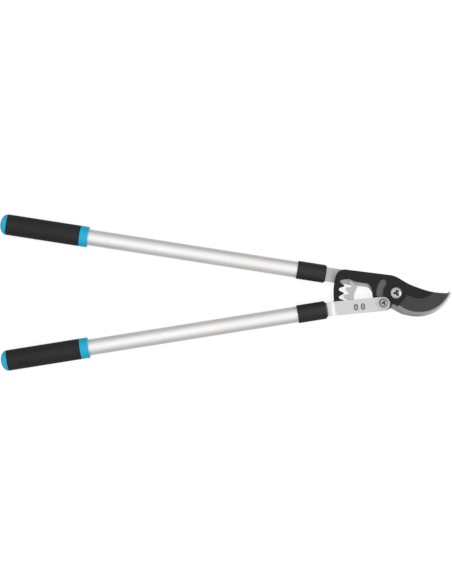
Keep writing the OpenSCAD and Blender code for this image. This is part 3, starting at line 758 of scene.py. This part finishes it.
def makeRingTree():
    # washers and bushes: a rounded rectangle swept round a circle, one ring at each point
    tree, inputs = newTree("roundRing", [
        ("Outer Radius", "NodeSocketFloat", 0.01), ("Height", "NodeSocketFloat", 0.0012),
        ("Bore", "NodeSocketFloat", 0.01), ("Round", "NodeSocketFloat", 0.0002)])
    inner = mathNode(tree, "MULTIPLY", inputs["Bore"], 0.5)
    middle = mathNode(tree, "MULTIPLY", mathNode(tree, "ADD", inputs["Outer Radius"], inner), 0.5)
    path = addNode(tree, "GeometryNodeCurvePrimitiveCircle", {"Resolution": 96, "Radius": middle})
    section = addNode(tree, "GeometryNodeCurvePrimitiveQuadrilateral", {
        "Width": mathNode(tree, "SUBTRACT", inputs["Outer Radius"], inner), "Height": inputs["Height"]})
    rounded = addNode(tree, "GeometryNodeFilletCurve", {
        "Curve": section, "Count": 3, "Radius": inputs["Round"], "Limit Radius": True}, mode="POLY")
    ring = addNode(tree, "GeometryNodeCurveToMesh", {"Curve": path, "Profile Curve": rounded})
    placed = addNode(tree, "GeometryNodeInstanceOnPoints", {"Points": inputs["Geometry"], "Instance": ring})
    return endTree(tree, placed, inputs)


def makeSocketTree():
    # sinks a hexagon socket with a countersunk mouth into a bolt's head
    tree, inputs = newTree("hexSocket", [
        ("Radius", "NodeSocketFloat", 0.0046), ("Depth", "NodeSocketFloat", 0.0028),
        ("Mouth", "NodeSocketFloat", 0.0006), ("Top", "NodeSocketVector", None),
        ("Turn", "NodeSocketRotation", None)])
    radius, mouth = inputs["Radius"], inputs["Mouth"]
    hexagon = addNode(tree, "GeometryNodeMeshCylinder", {
        "Vertices": 6, "Radius": radius, "Depth": mathNode(tree, "MULTIPLY", inputs["Depth"], 2.0)})
    cone = addNode(tree, "GeometryNodeMeshCone", {
        "Vertices": 64, "Radius Top": mathNode(tree, "ADD", radius, mathNode(tree, "MULTIPLY", mouth, 2.0)),
        "Radius Bottom": mathNode(tree, "SUBTRACT", radius, mouth),
        "Depth": mathNode(tree, "MULTIPLY", mouth, 3.0)})
    both = combine(tree, "UNION", hexagon, moved(tree, cone, mouth, -1.0))
    cutter = addNode(tree, "GeometryNodeTransform", {
        "Geometry": both, "Translation": inputs["Top"], "Rotation": inputs["Turn"]})
    return endTree(tree, combine(tree, "DIFFERENCE", inputs["Geometry"], cutter), inputs)


def makeRivetTree():
    # rivets with a long head that is chamfered all round, one at each point
    tree, inputs = newTree("longHeadRivets", [
        ("Head Radius", "NodeSocketFloat", 0.0031), ("Head Stretch", "NodeSocketFloat", 0.002),
        ("Head Height", "NodeSocketFloat", 0.001), ("Face Share", "NodeSocketFloat", 0.62),
        ("Shank Radius", "NodeSocketFloat", 0.0025), ("Shank Length", "NodeSocketFloat", 0.008),
        ("Turn", "NodeSocketRotation", None)])
    height, radius, length = inputs["Head Height"], inputs["Head Radius"], inputs["Shank Length"]
    halfHeight = mathNode(tree, "MULTIPLY", height, 0.5)
    plate = addNode(tree, "GeometryNodeMeshCylinder", {"Vertices": 48, "Radius": radius, "Depth": halfHeight})
    crown = addNode(tree, "GeometryNodeMeshCone", {
        "Vertices": 48, "Radius Top": mathNode(tree, "MULTIPLY", radius, inputs["Face Share"]),
        "Radius Bottom": radius, "Depth": halfHeight})
    head = combine(tree, "UNION", plate, moved(tree, crown, height, 0.25))
    # the two halves of the round head are pushed apart
    place = tree.nodes.new("GeometryNodeInputPosition").outputs[0]
    side = mathNode(tree, "SIGN", part(tree, place, "Y"))
    shift = tree.nodes.new("ShaderNodeCombineXYZ")
    tree.links.new(mathNode(tree, "MULTIPLY", side, inputs["Head Stretch"]), shift.inputs["Y"])
    long = addNode(tree, "GeometryNodeSetPosition", {"Geometry": head, "Offset": shift.outputs[0]})
    shank = addNode(tree, "GeometryNodeMeshCylinder", {
        "Vertices": 48, "Radius": inputs["Shank Radius"], "Depth": length})
    rivet = combine(tree, "UNION", long, moved(tree, shank, length, -0.5))
    placed = addNode(tree, "GeometryNodeInstanceOnPoints", {
        "Points": inputs["Geometry"], "Instance": rivet, "Rotation": inputs["Turn"]})
    return endTree(tree, placed, inputs)


def makeShellTree():
    # an oval tube: the oval on the middle of its wall is swept with the wall's long thin section
    tree, inputs = newTree("ovalShell", [
        ("Length", "NodeSocketFloat", 0.5), ("Wall", "NodeSocketFloat", 0.0016),
        ("Round", "NodeSocketFloat", 0.0003), ("Place", "NodeSocketVector", None),
        ("Turn", "NodeSocketRotation", None)])
    oval = addNode(tree, "GeometryNodeMeshToCurve", {"Mesh": inputs["Geometry"]})
    section = addNode(tree, "GeometryNodeCurvePrimitiveQuadrilateral", {
        "Width": inputs["Wall"], "Height": inputs["Length"]})
    rounded = addNode(tree, "GeometryNodeFilletCurve", {
        "Curve": section, "Count": 4, "Radius": inputs["Round"], "Limit Radius": True}, mode="POLY")
    shell = addNode(tree, "GeometryNodeCurveToMesh", {"Curve": oval, "Profile Curve": rounded})
    smooth = addNode(tree, "GeometryNodeSetShadeSmooth", {"Geometry": shell, "Shade Smooth": True})
    placed = addNode(tree, "GeometryNodeTransform", {
        "Geometry": smooth, "Translation": inputs["Place"], "Rotation": inputs["Turn"]})
    return endTree(tree, placed, inputs)


trees = {
    "nut": makeNutTree(), "ring": makeRingTree(), "socket": makeSocketTree(), "rivet": makeRivetTree(),
    "shell": makeShellTree()}
print("stage: geometry trees are built")

smoothest = {"shell": 40, "ring": 50, "nut": 20}  # degrees between faces that still look smooth
handleLook = {"tubeWall": 0.0016, "tubeRound": 0.0004, "sleeveWall": 0.0024, "sleeveRound": 0.001,
              "ferruleRound": 0.0009, "coreRound": 0.0011, "ovalSteps": 120, "sideArc": 0.36,
              "endSlice": 0.02}
bodyOf = {"upper": "hook_side", "lower": "lever_side"}


def handleMatrix(side):
    # X runs along the tube from its nose, Y across it, Z up
    points = [v.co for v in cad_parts[side + "_tube"].data.vertices]
    low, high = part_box(side + "_tube")
    far = [p for p in points if p.x < low.x + handleLook["endSlice"]]
    near = [p for p in points if p.x > high.x - handleLook["endSlice"]]
    farEnd, nearEnd = (sum(group, Vector()) / len(group) for group in (far, near))
    along = Vector((farEnd.x - nearEnd.x, farEnd.y - nearEnd.y, 0)).normalized()
    turn = Matrix((along, up.cross(along), up)).transposed().to_4x4()
    return Matrix.Translation(nearEnd) @ turn


def reach(matrix, node):
    # lowest and highest place of a node on its handle's own axes
    back = matrix.inverted()
    points = [back @ v.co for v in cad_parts[node].data.vertices]
    return [(min(p[i] for p in points), max(p[i] for p in points)) for i in range(3)]


def ovalMesh(width, height, grow, steps):
    # four arcs: small ones at the sides, flat ones above and below
    endRadius = handleLook["sideArc"] * height
    endX = width / 2 - endRadius
    flatRadius = (endX ** 2 + height ** 2 / 4 - endRadius ** 2) / (height - 2 * endRadius)
    drop = flatRadius - height / 2
    tilt = math.atan2(drop, endX)
    quarter = steps // 4
    half = []
    for i in range(quarter):
        a = tilt * (2 * i / quarter - 1)
        half.append((endX + (endRadius + grow) * math.cos(a), (endRadius + grow) * math.sin(a)))
    for i in range(quarter):
        a = tilt + (math.pi - 2 * tilt) * i / quarter
        half.append(((flatRadius + grow) * math.cos(a), (flatRadius + grow) * math.sin(a) - drop))
    ring = half + [(-x, -y) for x, y in half]
    mesh = bpy.data.meshes.new("oval")
    mesh.from_pydata([(x, y, 0) for x, y in ring], [(i, (i + 1) % len(ring)) for i in range(len(ring))], [])
    return mesh


def makeShell(name, side, wall, round, material, slot, node):
    matrix = handleMatrix(side)
    (x0, x1), (y0, y1), (z0, z1) = reach(matrix, node)
    place = matrix @ Vector(((x0 + x1) / 2, (y0 + y1) / 2, (z0 + z1) / 2))
    axes = Matrix.Rotation(math.pi / 2, 3, "Z") @ Matrix.Rotation(math.pi / 2, 3, "X")
    turn = (matrix.to_3x3() @ axes).to_euler()
    oval = ovalMesh(y1 - y0, z1 - z0, -wall / 2, handleLook["ovalSteps"])
    mesh = bakeTree(name, oval, trees["shell"], Length=x1 - x0, Wall=wall, Round=round, Place=place,
                    Turn=turn, Material=material)
    mesh.set_sharp_from_angle(angle=math.radians(smoothest["shell"]))
    addPiece(name, mesh, bodyOf[side], None, slot, node)


def makeMoulding(node, body, material, slot, round):
    finishPlate(mergedCopy(node), node + "_moulding", body, material, slot, node, round, segments=3)


for side, body in bodyOf.items():
    along = handleMatrix(side).to_euler().z
    makeShell(side + "_tube_body", side, handleLook["tubeWall"], handleLook["tubeRound"],
              tubeMaterial(side + "TubeAluminium", along), "tube_aluminium", side + "_tube")
    makeShell(side + "_sleeve_body", side, handleLook["sleeveWall"], handleLook["sleeveRound"],
              materials["sleeveRubber"], "black_rubber", side + "_grip_sleeve")
    makeMoulding(side + "_ferrule", body, materials["ferruleNylon"], "black_nylon",
                 handleLook["ferruleRound"])
    makeMoulding(side + "_grip_core", body, materials["gripBlue"], "blue_plastic", handleLook["coreRound"])
print("stage: handles are made")

bolts = {
    "pivot_bolt": {"shank": 0.005, "headHeight": 0.0046, "top": 0.0209, "socket": 0.0058, "depth": 0.003},
    "lever_bolt": {"shank": 0.004, "headHeight": 0.0046, "top": 0.0248, "socket": 0.0041, "depth": 0.003},
}
boltLook = {"rimShare": 0.3, "domeSteps": 10, "footChamfer": 0.0006, "headChamfer": 0.0003, "mouth": 0.0005,
            "mouthSink": 0.0002, "socketTurn": math.radians(12), "round": 0.00016}
rings = {
    "pivot_washer": {"material": "zincSteel", "slot": "zinc_steel", "bore": 0.0101, "round": 0.0003},
    "lever_washer": {"material": "zincSteel", "slot": "zinc_steel", "bore": 0.0081, "round": 0.0003},
    "pivot_bush": {"material": "bronze", "slot": "bush_bronze", "bore": 0.0101, "round": 0.0003},
    "lever_bush": {"material": "bronze", "slot": "bush_bronze", "bore": 0.0081, "round": 0.0003},
}
nuts = {
    "pivot_nut": {"bore": 0.01002, "chamfer": 0.0004, "slope": 1.8},
    "lever_nut": {"bore": 0.00802, "chamfer": 0.0004, "slope": 1.8},
}
rivetLook = {"wide": 0.0054, "long": 0.009, "headHeight": 0.0016, "faceShare": 0.62, "shank": 0.0025,
             "round": 0.00012}


def turnedMesh(name, profile, centre, steps=72):
    # profile points are (radius, height), from the foot to the top, both ends on the axis
    bm = bmesh.new()
    rows = []
    for radius, height in profile:
        angles = [0] if radius == 0 else [2 * math.pi * i / steps for i in range(steps)]
        rows.append([bm.verts.new((centre.x + radius * math.cos(a), centre.y + radius * math.sin(a), height))
                     for a in angles])
    for low, high in zip(rows, rows[1:]):
        for i in range(steps):
            j = (i + 1) % steps
            corners = [low[i % len(low)], low[j % len(low)], high[j % len(high)], high[i % len(high)]]
            bm.faces.new(list(dict.fromkeys(corners)))
    bmesh.ops.recalc_face_normals(bm, faces=bm.faces)
    mesh = bpy.data.meshes.new(name)
    bm.to_mesh(mesh)
    bm.free()
    return mesh


for node, facts in bolts.items():
    low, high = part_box(node)
    centre = (low + high) / 2
    radius, top = (high.x - low.x) / 2, facts["top"]
    foot = top - facts["headHeight"]
    rim = boltLook["rimShare"] * facts["headHeight"]
    rise = facts["headHeight"] - rim
    ball = (radius ** 2 + rise ** 2) / (2 * rise)
    steps = boltLook["domeSteps"]
    angles = [math.asin(radius / ball) * (1 - i / steps) for i in range(1, steps)]
    dome = [(ball * math.sin(a), top - ball + ball * math.cos(a)) for a in angles]
    shank, cut, headCut = facts["shank"], boltLook["footChamfer"], boltLook["headChamfer"]
    profile = [(0, low.z), (shank - cut, low.z), (shank, low.z + cut), (shank, foot),
               (radius - headCut, foot), (radius, foot + headCut), (radius, top - rise), *dome, (0, top)]
    chrome = chromeMaterial(node + "Chrome", centre, facts["socket"], top - facts["depth"])
    mesh = bakeTree(node + "_turned", turnedMesh(node + "_blank", profile, centre), trees["socket"],
                    Radius=facts["socket"], Depth=facts["depth"], Mouth=boltLook["mouth"],
                    Top=(centre.x, centre.y, top - boltLook["mouthSink"]),
                    Turn=(0, 0, boltLook["socketTurn"]), Material=chrome)
    softenEdges(addPiece(node + "_turned", mesh, "hook_side", None, "bolt_chrome", node), boltLook["round"])

for node, facts in rings.items():
    low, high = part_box(node)
    mesh = bakeTree(node + "_ring", pointsMesh([(low + high) / 2]), trees["ring"],
                    Outer_Radius=(high.x - low.x) / 2, Height=high.z - low.z, Bore=facts["bore"],
                    Round=facts["round"], Material=materials[facts["material"]])
    mesh.shade_smooth()
    mesh.set_sharp_from_angle(angle=math.radians(smoothest["ring"]))
    addPiece(node + "_ring", mesh, "hook_side", None, facts["slot"], node)

for node, facts in nuts.items():
    low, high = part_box(node)
    mesh = bakeTree(node + "_hexagon", pointsMesh([(low + high) / 2]), trees["nut"],
                    Corner_Radius=(high.x - low.x) / 2, Height=high.z - low.z, Bore=facts["bore"],
                    Chamfer_Radius=(high.y - low.y) / 2 - facts["chamfer"], Chamfer_Slope=facts["slope"],
                    Material=materials["zincSteel"])
    mesh.shade_smooth()
    mesh.set_sharp_from_angle(angle=math.radians(smoothest["nut"]))
    addPiece(node + "_hexagon", mesh, "hook_side", None, "zinc_steel", node)

along = rivetCentres[1] - rivetCentres[0]
foot, top = rivetBoxes[0][0].z, rivetBoxes[0][1].z
seat = top - rivetLook["headHeight"] / 2
mesh = bakeTree("sector_rivet_heads", pointsMesh([(p.x, p.y, seat) for p in rivetCentres]), trees["rivet"],
                Head_Radius=rivetLook["wide"] / 2, Head_Stretch=(rivetLook["long"] - rivetLook["wide"]) / 2,
                Head_Height=rivetLook["headHeight"], Face_Share=rivetLook["faceShare"],
                Shank_Radius=rivetLook["shank"], Shank_Length=seat - foot,
                Turn=(0, 0, math.atan2(along.y, along.x)), Material=materials["rivetSteel"])
heads = addPiece("sector_rivet_heads", mesh, "lever_side", None, "zinc_steel", "sector_rivets")
softenEdges(heads, rivetLook["round"])
print("stage: fixings are made")

innerPieces = {
    "upper_tang_insert": ("ferruleNylon", "black_nylon"),
    "lower_tang_insert": ("ferruleNylon", "black_nylon"),
    "upper_tang_rivets": ("zincSteel", "zinc_steel"),
    "lower_tang_rivets": ("zincSteel", "zinc_steel"),
}
for node, (material, slot) in innerPieces.items():
    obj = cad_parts[node]
    obj.data.materials.clear()
    obj.data.materials.append(materials[material])
print("stage: inner pieces are dressed")
